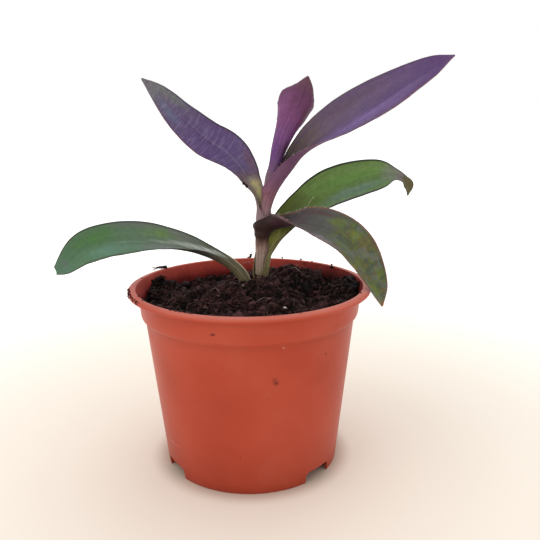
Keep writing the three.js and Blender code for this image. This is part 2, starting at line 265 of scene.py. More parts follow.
POT_SIDES = 144
BODY_RINGS = 16
INNER_RINGS = 12
FOOT_RADIUS = 38.2
FLOOR_UNDERSIDE = 5.2
FLOOR_TOP = 6.4
NOTCH_DEGREES = [-42, 32, 138, 212]
NOTCH_WIDTH = 14.6
NOTCH_HEIGHT = 4.9
NOTCH_CORNER = 2.2
CUTTER_DEPTH = 8
DRAIN_RADIUS = 4.0
DRAIN_CIRCLE = 24.0
DRAIN_COUNT = 6

# The wall's section as (radius, height): underside, foot, body, collar, rolled rim, inside, floor.
UNDERSIDE = [(1.2, 4.7), (1.5, 5.2), (11.4, 5.2), (11.6, 4.8), (12.4, 4.8), (12.6, 5.2), (36.4, 5.2)]
FOOT = [(36.8, 5.0), (36.95, 4.4), (37.22, 0.3), (37.35, 0.06), (37.7, 0.0), (38.05, 0.06), (38.23, 0.3)]
COLLAR = [
    (45.5, 65.9), (45.62, 66.3), (45.95, 66.75), (46.5, 67.15), (46.95, 67.6), (47.2, 68.3), (47.36, 69.3),
    (47.55, 71.5), (47.95, 75.9), (48.05, 76.6), (48.35, 77.1), (48.9, 77.36),
]
RIM = [
    (51.5, 77.4), (52.05, 77.5), (52.38, 77.8), (52.5, 78.2), (52.42, 78.6), (52.15, 78.92), (51.7, 79.14),
    (51.0, 79.34), (50.3, 79.46), (49.7, 79.5), (49.35, 79.46), (49.15, 79.34), (49.05, 79.15),
    (48.95, 78.8),
]
INSIDE = [
    (48.6, 77.9), (47.9, 76.4), (47.15, 74.9), (46.7, 73.6), (46.45, 71.5), (46.2, 68.9), (45.9, 67.9),
    (45.1, 66.9), (44.6, 66.2), (44.45, 65.4),
]
INNER_FOOT = [(37.85, 7.3), (37.5, 6.6), (36.9, FLOOR_TOP), (1.5, FLOOR_TOP)]


def straight_wall(start, end, count):
    """Rings between two points of the section, so that the faces stay short."""
    return [tuple(a + (b - a) * k / count for a, b in zip(start, end)) for k in range(1, count)]


def notch_cutter(degrees):
    """A bar with rounded upper corners, laid through the foot's wall."""
    bar = new_piece(bpy.ops.mesh.primitive_cube_add, size=1)
    bar.scale = mm(CUTTER_DEPTH, NOTCH_WIDTH, 2 * NOTCH_HEIGHT)
    place_in_mesh(bar)
    edit("DESELECT")
    mesh = bmesh.from_edit_mesh(bar.data)
    for edge in mesh.edges:
        a, b = (vertex.co for vertex in edge.verts)
        edge.select = min(a.z, b.z) > 0 and abs(a.x - b.x) > CUTTER_DEPTH * MM / 2
    bmesh.update_edit_mesh(bar.data)
    bpy.ops.mesh.bevel(offset=NOTCH_CORNER * MM, segments=5, affect="EDGES")
    bpy.ops.object.mode_set(mode="OBJECT")
    angle = radians(degrees)
    bar.rotation_euler = (0, 0, angle)
    bar.location = around(FOOT_RADIUS, angle, 0)
    place_in_mesh(bar)
    return bar


def make_pot():
    section = UNDERSIDE + FOOT + straight_wall(FOOT[-1], COLLAR[0], BODY_RINGS)
    section += COLLAR + RIM + INSIDE + straight_wall(INSIDE[-1], INNER_FOOT[0], INNER_RINGS) + INNER_FOOT
    pot = loft([(0, 0, z, r) for r, z in section], POT_SIDES)
    for degrees in NOTCH_DEGREES:
        cut(pot, notch_cutter(degrees))
    for k in range(DRAIN_COUNT):
        drill = new_piece(
            bpy.ops.mesh.primitive_cylinder_add,
            vertices=32, radius=DRAIN_RADIUS * MM, depth=CUTTER_DEPTH * MM,
            location=around(DRAIN_CIRCLE, 2 * pi * k / DRAIN_COUNT, FLOOR_TOP),
        )
        place_in_mesh(drill)
        cut(pot, drill)
    only(pot)
    bpy.ops.object.shade_smooth_by_angle(angle=radians(32))
    return pot


# Marks on the pot's outside as (place, reach along each axis, turn about Z in degrees, colour, strength).
POT_MARKS = [
    ((11, -42.5, 51.4), (1.8, 4.0, 2.4), 0, "#5E241A", 1),
    ((-12.5, -45.8, 71.4), (1.6, 2.0, 0.7), 0, "#4A1E16", 0.9),
    ((-3.8, -39.9, 17.5), (0.7, 2.0, 0.6), 0, "#5A2418", 0.8),
    ((30.8, -32.3, 58.3), (0.6, 2.0, 0.7), 0, "#5A2418", 0.8),
    ((13.9, -43.2, 65.2), (0.8, 2.0, 0.6), 0, "#D9A090", 0.8),
    ((-32.1, -22.8, 15.2), (6.5, 2.0, 0.55), -55, "#CE8A78", 0.7),
    ((-42.0, -14.5, 40.0), (0.6, 2.0, 1.0), 0, "#7C3022", 0.5),
]


def pot_finish(add, place):
    """Injection-moulded polypropylene, terracotta coloured: satin, with a faint orange peel, slight
    colour drift from the melt, dulled by handling and marked by soil, with a painted highlight on the
    lip and painted shade under the collar."""
    x, z = (add("SeparateXYZ", {0: place}, axis) for axis in "XZ")
    drift = add("TexNoise", {0: place, 2: 28, 3: 3})
    colour = add("ValToRGB", {0: drift}, stops=[(0.3, "#A5402C"), (0.5, "#AE4530"), (0.72, "#B54D38")])
    # Handling film: the surface is a little paler and duller where it has been touched.
    film = add("TexNoise", {0: place, 2: 70, 3: 6, 4: 0.65})
    film = add("MapRange", {0: film, 1: 0.5, 2: 0.75}, **SMOOTH)
    # Painted highlight: the top of the lip is painted paler and pinker than the wall, fading out at the far
    # left.
    lip_top_highlight = add("MapRange", {0: z, 1: 78.2 * MM, 2: 79.2 * MM, 3: 0, 4: 0.36})
    highlight_share = add("MapRange", {0: x, 1: -50 * MM, 2: -25 * MM})
    layers = [(film, 0.18, "#BE6A56"), (lip_top_highlight, highlight_share, "#CE8070")]
    # Painted shade darkens the corner under the collar, and the wall is darker towards the foot.
    body_only = add("MapRange", {0: z, 1: 66 * MM, 2: 66.6 * MM, 3: 1, 4: 0})
    for fade_from, full_at, strength in ((61.5, 66, 0.3), (24, 0, 0.35)):
        collar_shade_foot_darkening = add("MapRange", {0: z, 1: fade_from * MM, 2: full_at * MM, 3: 0, 4: strength})
        layers.append((collar_shade_foot_darkening, body_only, "#8E3422"))
    # Fine specks of dried soil, under a millimetre, in some places only.
    speck = add("TexVoronoi", {"Vector": place, "Scale": 140, "Randomness": 1})
    speck = add("MapRange", {0: speck, 1: 0.07, 2: 0.04})
    where = add("TexNoise", {0: place, 2: 45})
    layers.append((speck, add("MapRange", {0: where, 1: 0.6, 2: 0.65}), "#5A2A20"))
    blur = add("MapRange", {0: add("TexNoise", {0: place, 2: 600, 3: 2}), 1: 0.35, 2: 0.6})
    for mark, reach, degrees, tint, strength in POT_MARKS:
        turn = Matrix.Rotation(radians(-degrees), 3, "Z")
        sizes = [1 / (size * MM) for size in reach]
        centre = Matrix.Diagonal(sizes) @ turn @ Vector(mm(*mark))
        near = add("Mapping", {0: place, 2: (0, 0, radians(-degrees))})
        near = add("Mapping", {0: near, 1: -centre, 3: sizes})
        near = add("VectorMath", {0: near}, "Value", operation="LENGTH")
        layers.append((add("MapRange", {0: near, 1: 1, 2: 0.3, 3: 0, 4: strength}), blur, tint))
    peel = add("TexNoise", {0: place, 2: 900, 3: 2})
    return colour, layers, {
        "Roughness": add("MapRange", {0: film, 3: 0.36, 4: 0.5}),
        "Normal": add("Bump", {"Height": peel, "Strength": 0.12, "Distance": 0.05 * MM}),
        "Specular IOR Level": 0.13, "Subsurface Weight": 0.06, "Subsurface Scale": 0.8 * MM,
    }


def inner_wall_finish(add, place):
    """The same plastic inside the pot, smeared with fine peat, with painted shade that darkens it
    towards the soil and on its sides."""
    smear = add("TexNoise", {0: place, 2: 90, 3: 6, 4: 0.7})
    stain_and_shade = add("MapRange", {0: smear, 1: 0.3, 2: 0.7, 3: 0, 4: 0.3})
    # Painted shade: the wall is darker towards the soil, and its sides are darker than its back, the right
    # one most.
    spans = (("Z", 73, 79, 0.5, 0), ("X", -46, -15, 0.05, 0), ("X", 12, 40, 0, 0.4))
    for axis, start, end, low, high in spans:
        along = add("SeparateXYZ", {0: place}, axis)
        wet = add("MapRange", {0: along, 1: start * MM, 2: end * MM, 3: low, 4: high})
        stain_and_shade = add("Math", {0: stain_and_shade, 1: wet}, operation="ADD")
    tones = [(0, "#BE5648"), (0.3, "#9C3A30"), (0.6, "#72241F"), (0.85, "#46120D"), (1, "#200705")]
    grain = add("TexNoise", {0: place, 2: 1400, 3: 3})
    return add("ValToRGB", {0: stain_and_shade}, stops=tones), [], {
        "Roughness": add("MapRange", {0: stain_and_shade, 3: 0.38, 4: 0.7}),
        "Normal": add("Bump", {"Height": grain, "Strength": 0.3, "Distance": 0.08 * MM}),
        "Specular IOR Level": 0.08,
    }


plastic = make_material("terracotta_polypropylene", pot_finish)
inner_stain_and_shade = make_material("peat_smeared_shade_painted_polypropylene", inner_wall_finish)
pot = dress(make_pot(), "nursery_pot", [plastic, inner_stain_and_shade], node="pot")
for face in pot.data.polygons:
    outward = Vector((face.center.x, face.center.y, 0)).normalized()
    inside = face.center.z > (FLOOR_UNDERSIDE + 0.5) * MM and face.normal.dot(outward) < -0.8
    face.material_index = 1 if inside else 0

# ---------------- soil

SOIL_GRID = 230
SOIL_LEVEL = 73.4
SOIL_TILT = 0.8 / 47.4
SOIL_TOP_RADIUS = 46.3
HIGHEST_SOIL = 80.5
WALL_SLOPE = 0.48
# Layers of clods as (height, size, seed).
CLOD_LAYERS = [(5.0, 8.5, 0.4), (1.5, 3.4, 5.3), (0.6, 1.4, 9.7)]
# Mounds and hollows as (x, y, height, spread).
SOIL_LUMPS = [
    (3, 0, 4.2, 11), (5, 4, 1.8, 6), (21, 23, 6.6, 6.5), (40, 6, 2.4, 6), (-40.5, 18.5, 4.4, 4.4),
    (-24, 30, -3.2, 13), (31, 2, -4.6, 5.5), (-43, -6, -1.6, 7), (-24, -8, 2.2, 9), (12, -26, 1.6, 7),
    (43, 15, 0.6, 6), (-44, 8, 1.8, 4.5), (45, 1, 2.2, 5.5), (19, 13, 3.2, 5), (26, 2, -3.5, 4),
    (33, 12, -2, 3.5), (-6, -22, -1.8, 5), (-34, 6, -2, 5),
]
# Rings down the soil's side to the pot's floor, as (radius, height).
SOIL_SIDE = [(45.9, 68.2), (44.1, 65.5), (37.4, 6.6)]
# Where the shoot and the lower petiole come out of the soil, as (x, y, radius kept clear of crumbs).
SHOOT_FEET = [(5.8, 10, 4.0), (-2.6, 5.4, 3.6)]
# Crumbs and fibres keep within these radii, and random angles span a whole turn.
CRUMB_REACH = 46.2
FIBRE_REACH = 45
FIBRE_COUNT = 1500
RIM_FIBRE_COUNT = 11
LIP_TOP = 79.5
CRUST_COUNT = 60
GRAIN_COUNT = 18
TURN = 6.28


def clods(x, y, size, seed):
    """Rounded lumps that meet in creases, from 0 to 1, for clods of this size in mm."""
    near = noise.voronoi(Vector((x / size, y / size, seed)))[0][0]
    return sqrt(max(0.0, 1 - (near * 1.25) ** 2))


def soil_surface(x, y):
    """The soil's height in mm at a place, and how deep that place lies between clods, 0 to 1."""
    z = SOIL_LEVEL + SOIL_TILT * x
    for cx, cy, height, spread in SOIL_LUMPS:
        z += height * exp(-((x - cx) ** 2 + (y - cy) ** 2) / (2 * spread**2))
    bend = noise.noise_vector(Vector((x / 5, y / 5, 3.1))) * 1.6
    x, y = x + bend.x, y + bend.y
    relief = 1.6 * noise.turbulence(Vector((x / 2.4, y / 2.4, 1.7)), 5, False) - 0.6
    for height, size, seed in CLOD_LAYERS:
        relief += height * (clods(x, y, size, seed) - 0.6)
    return z + relief, min(max(0.5 - relief / 2.8, 0.0), 1.0)


def make_soil_bed():
    """A square grid rounded to a disc and raised into clods, its side drawn down to the pot's floor."""
    bed = new_piece(
        bpy.ops.mesh.primitive_grid_add, x_subdivisions=SOIL_GRID, y_subdivisions=SOIL_GRID, size=2
    )
    depths = []
    for vertex in bed.data.vertices:
        u, v = vertex.co.x, vertex.co.y
        x = SOIL_TOP_RADIUS * u * sqrt(1 - v * v / 2)
        y = SOIL_TOP_RADIUS * v * sqrt(1 - u * u / 2)
        z, depth = soil_surface(x, y)
        # Where it is heaped at the wall it leans against it, since the pot widens upwards.
        heaped = min(max(z - SOIL_LEVEL, 0), 4.4)
        leaning = 1 + heaped * WALL_SLOPE / SOIL_TOP_RADIUS * max(abs(u), abs(v)) ** 8
        vertex.co = mm(x * leaning, y * leaning, min(z, HIGHEST_SOIL))
        depths.append(depth)
    bed.data.attributes.new("crevice", "FLOAT", "POINT").data.foreach_set("value", depths)
    edit("SELECT")
    bpy.ops.mesh.region_to_loop()
    for radius, z in SOIL_SIDE:
        bpy.ops.mesh.extrude_region_move()
        mesh = bmesh.from_edit_mesh(bed.data)
        for vertex in mesh.verts:
            if vertex.select:
                vertex.co = around(radius, atan2(vertex.co.y, vertex.co.x), z)
        bmesh.update_edit_mesh(bed.data)
    bpy.ops.mesh.edge_face_add()
    face_outwards()
    bpy.ops.object.shade_smooth()
    return bed


def soil_finish(add, place, tones, crevice=False):
    """Moist peat and coir compost: nearly black where it is wet, brown on the drier crumbs and darker
    towards its left and right sides, with gritty relief and glints of water. On the bed, painted shade
    darkens the hollows between the clods nearly to black."""
    patch = add("TexNoise", {0: place, 2: 230, 3: 6, 4: 0.75})
    colour = add("ValToRGB", {0: patch}, stops=list(zip((0.32, 0.48, 0.62, 0.78), tones)))
    damp = add("MapRange", {0: add("TexNoise", {0: place, 2: 95, 3: 2}), 1: 0.4, 2: 0.62, 3: 0.55, 4: 0})
    # The soil is painted darker towards its left and right sides.
    side = add("Math", {0: add("SeparateXYZ", {0: place})}, operation="ABSOLUTE")
    side = add("MapRange", {0: side, 1: 12 * MM, 2: 40 * MM, 3: 0, 4: 0.75})
    grit = add("TexNoise", {0: place, 2: 1500, 3: 4, 4: 0.8})
    layers = [
        (add("Math", {0: damp, 1: side}, operation="MAXIMUM"), 1, "#0C0606"),
        (add("MapRange", {0: grit, 1: 0.58, 2: 0.72, 3: 0, 4: 0.4}), 1, "#5A3E36"),
    ]
    # Painted shade: the hollows between the bed's clods are darkened nearly to black.
    if crevice:
        depth = add("Attribute", out="Fac", attribute_name="crevice")
        layers.append((add("MapRange", {0: depth, 1: 0.1, 2: 0.6, 3: 0, 4: 0.95}), 1, "#080504"))
    wet = add("TexNoise", {0: place, 2: 120})
    return colour, layers, {
        "Roughness": add("MapRange", {0: wet, 1: 0.35, 2: 0.65, 3: 0.42, 4: 0.9}),
        "Normal": add("Bump", {"Height": grit, "Strength": 0.8, "Distance": 0.3 * MM}),
        "Specular IOR Level": 0.08,
    }


# Settings for strand_finish: noise scale, detail and spread, and the shader's own inputs.
DRY_FIBRE = (300, 3, 0.1, {"Roughness": 0.75, "Specular IOR Level": 0.1})
LEAF_HAIR = (200, 2, 0.15, {"Roughness": 0.6, "Subsurface Weight": 0.3, "Subsurface Scale": 0.5 * MM})


def strand_finish(add, place, dark, pale, scale, detail, spread, surface):
    """Plant fibre: matt and dry, or half clear as a leaf's hair, with darker lengths where it is damp."""
    damp = add("TexNoise", {0: place, 2: scale, 3: detail})
    return add("ValToRGB", {0: damp}, stops=[(0.5 - spread, dark), (0.5 + spread, pale)]), [], surface


def make_crumb(levels, seed):
    """One lump of compost a millimetre across: an icosphere pushed in and out at its corners."""
    crumb = new_piece(bpy.ops.mesh.primitive_ico_sphere_add, subdivisions=levels, radius=MM / 2)
    for vertex in crumb.data.vertices:
        vertex.co *= 1 + 0.9 * noise.noise(vertex.co * 2400 + Vector((seed, 0, 0)))
    return crumb


def tumble(size):
    """A random turn with a random squash, for a crumb of this size in mm."""
    turn = Matrix.Rotation(dice.uniform(0, TURN), 3, "Z") @ Matrix.Rotation(dice.uniform(0, TURN), 3, "X")
    spans = ((0.75, 1.3), (0.75, 1.2), (0.6, 1))
    return turn @ Matrix.Diagonal([size * dice.uniform(*span) for span in spans])


def clear_of_shoot(x, y, room):
    return all(hypot(x - cx, y - cy) > keep + room for cx, cy, keep in SHOOT_FEET)


def strewn(count, low, high, sunk):
    """Placings for crumbs strewn over the soil, small ones more often, each sunk by a share of its size."""
    placings = []
    while len(placings) < count:
        size = low * (high / low) ** (dice.random() ** 1.6)
        x, y = dice.uniform(-46, 46), dice.uniform(-46, 46)
        z, depth = soil_surface(x, y)
        inside = clear_of_shoot(x, y, size / 2) and hypot(x, y) + size * 0.6 < CRUMB_REACH
        if inside and depth < dice.uniform(0.15, 0.85):
            placings.append((mm(x, y, z + size * (0.5 - sunk)), tumble(size)))
    return placings


def strands(paths):
    """One mesh of thin three-sided strands, each a list of (point, radius) in mm, closed at both ends."""
    points, faces = [], []
    for path in paths:
        first = len(points)
        places = [Vector(point) for point, _ in path]
        for k, (place, (_, radius)) in enumerate(zip(places, path)):
            ahead = (places[min(k + 1, len(path) - 1)] - places[max(k - 1, 0)]).normalized()
            side = ahead.orthogonal().normalized()
            for corner in range(3):
                out = Matrix.Rotation(corner * 2 * pi / 3, 3, ahead) @ side
                points.append((place + out * radius) * MM)
        end = first + 3 * (len(path) - 1)
        for low in range(first, end, 3):
            faces += [(low + a, low + b, low + 3 + b, low + 3 + a) for a, b in ((0, 1), (1, 2), (2, 0))]
        faces += [(first + 2, first + 1, first), (end, end + 1, end + 2)]
    obj = new_mesh(points, faces)
    only(obj)
    bpy.ops.object.shade_smooth()
    return obj


def fibre_path(x, y, heading, length, radius, lift, wander, steps=9):
    """A fibre that lies over the clods from a place, curling as it goes, its middle lifted by so much."""
    path, heights = [], []
    for k in range(steps + 1):
        share = k / steps
        if hypot(x, y) > FIBRE_REACH:
            heading += 1.2
        heights.append(soil_surface(x, y)[0] + 0.3 + lift * sin(pi * share))
        path.append((x, y, radius * (1 - 0.6 * abs(2 * share - 1) ** 2)))
        heading += wander + dice.uniform(-0.35, 0.35)
        x += length / steps * cos(heading)
        y += length / steps * sin(heading)
    # A fibre doesn't follow every crumb: its heights are averaged along it.
    near = [heights[max(0, k - 2) : k + 3] for k in range(len(path))]
    return [((x, y, sum(some) / len(some)), radius) for (x, y, radius), some in zip(path, near)]


def soil_piece(obj, name, material):
    return dress(obj, name, [material])


SOIL_TONES = ["#0C0606", "#1A0E0D", "#2E1A18", "#4A2F28"]
CRUMB_TONES = ["#100808", "#2E1A1B", "#6A4444", "#B48C86"]
compost = make_material("moist_peat_compost", soil_finish, SOIL_TONES, crevice=True)
crumb_material = make_material("drier_peat_crumbs", soil_finish, CRUMB_TONES)
dress(make_soil_bed(), "soil_bed", [compost], node="soil")

small, large = make_crumb(1, 3.0), make_crumb(2, 8.0)
# Loose crumbs and clods as (name, shape, count, smallest, largest, share sunk).
LOOSE = [("soil_crumbs", small, 8000, 0.35, 1.3, 0.1), ("soil_clods", large, 420, 1.2, 3.6, 0.4)]
for name, shape, *form in LOOSE:
    only(soil_piece(scatter(shape, strewn(*form)), name, crumb_material))
    bpy.ops.object.shade_smooth()

brown_fibres, pale_fibres = [], []
for k in range(FIBRE_COUNT):
    angle, out = dice.uniform(0, TURN), (FIBRE_REACH - 1) * sqrt(dice.random())
    x, y = out * cos(angle), out * sin(angle)
    if not clear_of_shoot(x, y, 1):
        continue
    kind, longest = (pale_fibres, 6) if k % 24 == 0 else (brown_fibres, 9)
    length = dice.uniform(2, longest)
    # Heading, radius, lift and wander are drawn in this order.
    heading, *form = (dice.uniform(*span) for span in ((0, TURN), (0.04, 0.1), (0.2, 1.4), (-0.2, 0.2)))
    kind.append(fibre_path(x, y, heading, length, *form))
# Root hairs that arch over the clods, as (x, y, heading in degrees, length, height of the arch).
ARCHED = [
    (11, 24, 20, 14, 2.6), (27, 13, 125, 12, 2.4), (33, 19, 70, 9, 2.0), (17, 30, -35, 13, 2.6),
    (24, 20, -60, 12, 2.2), (-30, 14, 20, 12, 2.2), (-14, -8, -15, 10, 1.8), (2, -20, 45, 10, 1.8),
    (30, -8, 150, 12, 2.2), (-34, -4, -70, 9, 2.0),
]
for k, (x, y, heading, length, arch) in enumerate(ARCHED):
    path = fibre_path(x, y, radians(heading), length, 0.09, arch, 0.12)
    (pale_fibres if k % 2 else brown_fibres).append(path)
# Fibres that stand out over the rim at the left, and a curled rootlet against the back wall.
for k in range(RIM_FIBRE_COUNT):
    x, y, z = -42.6 + dice.uniform(-1.2, 1.6), 29 + dice.uniform(-1.8, 1), LIP_TOP
    turn, path = pi + dice.uniform(-0.5, 0.5), []
    for step in range(8):
        path.append(((x, y, z + 0.5 * sin(step / 2)), 0.14 - 0.01 * step))
        x, y, turn = x + 0.8 * cos(turn), y + 0.8 * sin(turn), turn + dice.uniform(-0.5, 0.5)
    (pale_fibres if k % 3 == 0 else brown_fibres).append(path)
CURLED_ROOTLET = [
    (-9, 43.6, 74.5), (-7.5, 44.8, 76), (-5.4, 45.2, 77.3), (-3.2, 45.4, 78.4), (-1.6, 45.2, 78.6),
    (-0.8, 44.6, 77.4),
]
pale_fibres.append([(point, 0.16) for point in CURLED_ROOTLET])
coir = make_material("damp_coir_fibre", strand_finish, "#2E1D1A", "#6E5148", *DRY_FIBRE)
soil_piece(strands(brown_fibres), "soil_fibres", coir)
rootlet = make_material("pale_dry_rootlet", strand_finish, "#6A5048", "#B8A498", *DRY_FIBRE)
soil_piece(strands(pale_fibres), "pale_rootlets", rootlet)

# Bleached bits, as (x, y, size).
BLEACHED_BITS = [
    (-3, -1.5, 1.0), (14.7, -29.8, 1.3), (37.7, 20, 1.4), (31.7, 1, 1.1), (5.4, 4.5, 1.0), (36, 12, 0.9),
    (-13, -31, 1.0),
]
bits = [(mm(x, y, soil_surface(x, y)[0] + 0.9), tumble(size)) for x, y, size in BLEACHED_BITS]
bark = make_material("bleached_bark", strand_finish, "#8A7A70", "#C9BDB2", *DRY_FIBRE)
soil_piece(scatter(small, bits), "bleached_bits", bark)

# Soil spilt on the rim: single crumbs as (x, y, z, size), a crust on the outer edge at the left, and
# grains on the inner edge at the front left.
RIM_CRUMBS = [
    (-1.2, 51.5, 79.8, 1.9), (-0.8, 51.6, 80.9, 1.6), (-0.4, 51.6, 81.9, 1.0), (-2.2, 51.4, 79.5, 1.0),
    (15.2, 48.9, 79.8, 1.1), (24.6, 46.2, 79.2, 1.2), (25.9, 40.6, 78.6, 1.1), (29.9, 39.8, 79.7, 0.8),
    (38.6, 29, 79.3, 1.4), (38.8, 31.6, 79.8, 1.1), (-14.8, -45.9, 79.2, 0.8), (-11.5, -46.6, 79.4, 0.6),
    (-41.8, -26.4, 79.5, 0.9), (-44.6, -20.8, 79.7, 0.8), (-48.9, 9.5, 79.6, 0.6),
    (-41.6, 28.9, 80.0, 2.2), (-42.9, 28.9, 80.1, 1.8), (-44.2, 28.4, 80.2, 1.3), (-45.4, 28.6, 80.0, 0.9),
    (-46.8, 28.4, 79.9, 0.6), (20, -46, 79.6, 0.5), (46, -19, 79.7, 0.6),
]
crumbs = [(mm(*place), tumble(size)) for *place, size in RIM_CRUMBS]
for k in range(CRUST_COUNT):
    angle = radians(dice.choice((192, 199, 206, 212)) + dice.gauss(0, 2))
    out = dice.uniform(51.6, 52.5)
    height = 79.2 - 1.1 * (out - 51.6) ** 2 / 0.81
    crumbs.append((around(out, angle, height), tumble(dice.uniform(0.3, 0.95))))
for k in range(GRAIN_COUNT):
    angle, out = radians(dice.uniform(233, 246)), dice.uniform(48.9, 49.8)
    crumbs.append((around(out, angle, LIP_TOP), tumble(dice.uniform(0.4, 1.1))))
soil_piece(scatter(small, crumbs), "rim_crumbs", crumb_material)

# ---------------- stem

STEM_SIDES = 24
# Rings as (x, y, z, radius).
STEM = [
    (3.6, 10, 54, 1.6), (3.7, 10, 58, 2.1), (4.0, 10, 70, 2.15), (4.3, 10, 75.5, 2.1),
    (4.5, 10, 78.5, 1.8), (4.7, 10, 80.3, 1.6), (5.0, 10, 88, 1.5), (5.2, 10, 93, 1.65),
    (5.5, 10, 98, 1.6), (5.8, 10, 103, 1.55), (6.98, 10, 108.8, 1.4), (7.3, 10, 110.3, 1.2),
    (7.35, 10, 110.8, 0.7),
]


def stem_finish(add, place):
    """Fresh fleshy stem: dull mauve over green, faintly streaked along its length."""
    drawn = add("Mapping", {0: place, 3: (900, 900, 60)})
    streak = add("TexNoise", {0: drawn, 2: 1, 3: 3})
    tones = [(0.3, "#6B4A4E"), (0.6, "#8D7062"), (0.8, "#A08E6E")]
    return add("ValToRGB", {0: streak}, stops=tones), [], {
        "Normal": add("Bump", {"Height": streak, "Strength": 0.3, "Distance": 0.08 * MM}),
        "Roughness": 0.5, "Subsurface Weight": 0.15, "Subsurface Scale": MM,
    }


stem = loft(STEM, STEM_SIDES)
bpy.ops.object.shade_smooth_by_angle(angle=radians(50))
dress(stem, "plant_stem", [make_material("fleshy_stem_skin", stem_finish)], node="stem")

# ---------------- leaves

# The shoot's axis as (z, x, y). Sheaths stand open round it.
SHOOT = [
    (54, 3.6, 10), (70, 4.0, 10), (81.5, 4.7, 10), (98, 5.5, 10), (103, 5.8, 10), (108.8, 6.98, 10),
    (113, 7.7, 10), (118.5, 8.4, 10), (124, 9.1, 10.1),
]
THICKNESS = 0.5
MARGIN_THINNED_BY = 0.55
WAVE_HEIGHT = 0.35
CREASE_DEPTH = 0.22
CREASE_WIDTH = 0.55
FOLD_ENDS_AT_CURL = 120
# A sheath eases off the shoot's axis over this many mm.
EASE = 0.4
STEPS_ALONG = 150
STEPS_ACROSS = 26
# Shares of a leaf's length over which its margin goes from the sheath's colour to its own.
SHEATH_ENDS = 0.26
BLADE_BEGINS = 0.34

